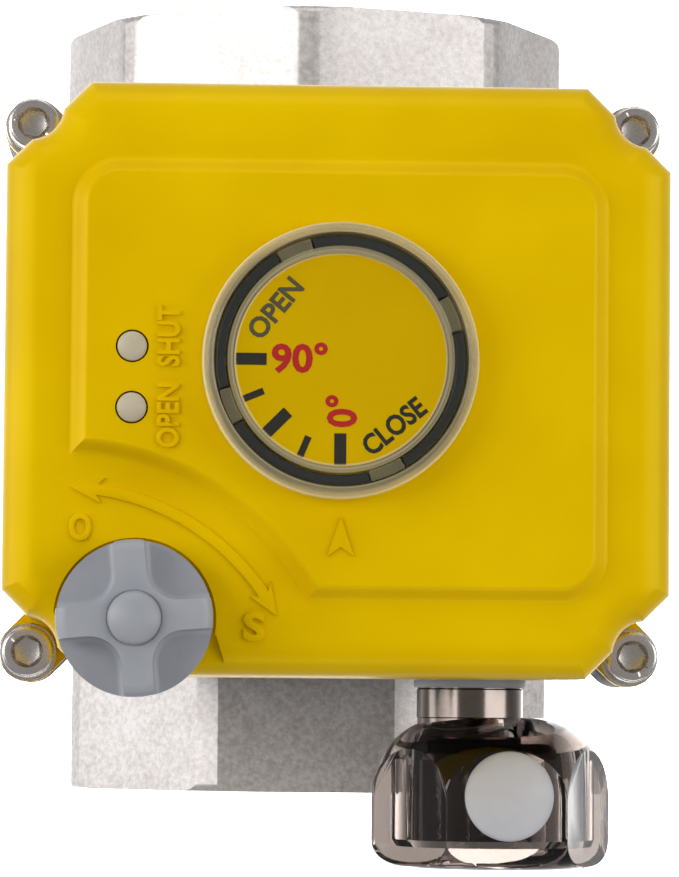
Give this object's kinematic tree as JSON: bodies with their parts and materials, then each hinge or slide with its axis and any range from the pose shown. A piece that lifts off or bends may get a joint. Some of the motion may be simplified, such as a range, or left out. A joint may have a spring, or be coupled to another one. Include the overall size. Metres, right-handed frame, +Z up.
{
  "type": "motorized ball valve",
  "caption": "Quarter-turn electric actuator in a yellow housing with a dial window and a manual knob, on a threaded octagonal ball valve.",
  "frame": {"origin": "centre of the ball, where the stem axis meets the pipe axis", "axes": "+Z up the stem towards the dial, +Y along the pipe, away from the cable entry and the knob"},
  "size_m": [0.0926, 0.129, 0.1651],
  "materials": {
    "valve_steel": "blasted stainless steel",
    "bright_steel": "polished stainless steel",
    "machined_steel": "machined",
    "yellow_plastic": "glossy moulded",
    "grey_plastic": "satin moulded",
    "dark_plastic": "fine texture",
    "black_plastic": "satin",
    "white_plastic": "frosted",
    "nylon": "natural",
    "clear_plastic": "clear polished",
    "smoky_plastic": "clear polished, slightly smoked",
    "rubber": "matt",
    "brass": "machined",
    "board": "solder mask"
  },
  "bodies": {
    "housing": {"valve_body": "valve_steel", "end_cap": "valve_steel", "gland_nut": "bright_steel", "cover_screw_1": "bright_steel", "cover_screw_2": "bright_steel", "cover_screw_3": "bright_steel", "cover_screw_4": "bright_steel", "flat_washer_1": "bright_steel", "flat_washer_2": "bright_steel", "flat_washer_3": "bright_steel", "flat_washer_4": "bright_steel", "spring_washer_1": "bright_steel", "spring_washer_2": "bright_steel", "spring_washer_3": "bright_steel", "spring_washer_4": "bright_steel", "entry_nipple": "bright_steel", "entry_locknut": "bright_steel", "mounting_screw_1": "machined_steel", "mounting_screw_2": "machined_steel", "mounting_screw_3": "machined_steel", "mounting_screw_4": "machined_steel", "idler_pin": "machined_steel", "motor_idler_pin": "machined_steel", "gear_plate": "machined_steel", "motor": "machined_steel", "cover": "yellow_plastic", "base_housing": "dark_plastic", "limit_switch_open": "dark_plastic", "limit_switch_shut": "dark_plastic", "window_ring": "black_plastic", "terminal_block": "black_plastic", "light_lens_shut": "white_plastic", "light_lens_open": "white_plastic", "entry_washer": "white_plastic", "seat_ring_outlet": "nylon", "seat_ring_inlet": "nylon", "stem_packing": "nylon", "window_lens": "clear_plastic", "light_shut": "clear_plastic", "light_open": "clear_plastic", "entry_cap": "smoky_plastic", "cover_gasket": "rubber", "entry_seal": "rubber", "output_bush": "brass", "circuit_board": "board"},
    "output": {"ball": "bright_steel", "stem": "machined_steel", "output_shaft": "machined_steel", "output_gear": "machined_steel", "cam_open": "black_plastic", "cam_shut": "black_plastic", "indicator_dial": "yellow_plastic"},
    "idler": {"idler_gear": "nylon"},
    "motor_idler": {"motor_idler_gear": "nylon"},
    "motor_shaft": {"motor_pinion": "brass"},
    "knob": {"knob_spindle": "bright_steel", "manual_knob": "grey_plastic", "knob_cap": "grey_plastic"},
    "plug": {"transit_plug": "white_plastic"}
  },
  "joints": [
    {"name": "output_turn", "type": "hinge", "parent": "housing", "child": "output", "pos_m": [0, 0, 0], "axis": [0, 0, 1], "range_deg": [0, 90]},
    {"name": "idler_spin", "type": "hinge", "parent": "housing", "child": "idler", "pos_m": [-0.01551, -0.01986, 0.057], "axis": [0, 0, 1], "range_deg": [-425.46, 0]},
    {"name": "motor_idler_spin", "type": "hinge", "parent": "housing", "child": "motor_idler", "pos_m": [0.02368, 0.00862, 0.057], "axis": [0, 0, 1], "range_deg": [-425.46, 0]},
    {"name": "motor_spin", "type": "hinge", "parent": "housing", "child": "motor_shaft", "pos_m": [0.0209, -0.00714, 0.061], "axis": [0, 0, 1], "range_deg": [0, 1276.37]},
    {"name": "knob_turn", "type": "hinge", "parent": "housing", "child": "knob", "pos_m": [-0.02708, -0.03468, 0.1], "axis": [0, 0, 1], "range_deg": [0, 1796.37]},
    {"name": "plug_pull", "type": "slide", "parent": "housing", "child": "plug", "axis": [0.0872, 0, 0.9962], "range_m": [0, 0.01]}
  ],
  "couplings": [
    {"joint": "idler_spin", "follows": "output_turn", "ratio": -4.7273},
    {"joint": "motor_idler_spin", "follows": "output_turn", "ratio": -4.7273},
    {"joint": "motor_spin", "follows": "output_turn", "ratio": 14.182},
    {"joint": "knob_turn", "follows": "output_turn", "ratio": 19.96}
  ]
}
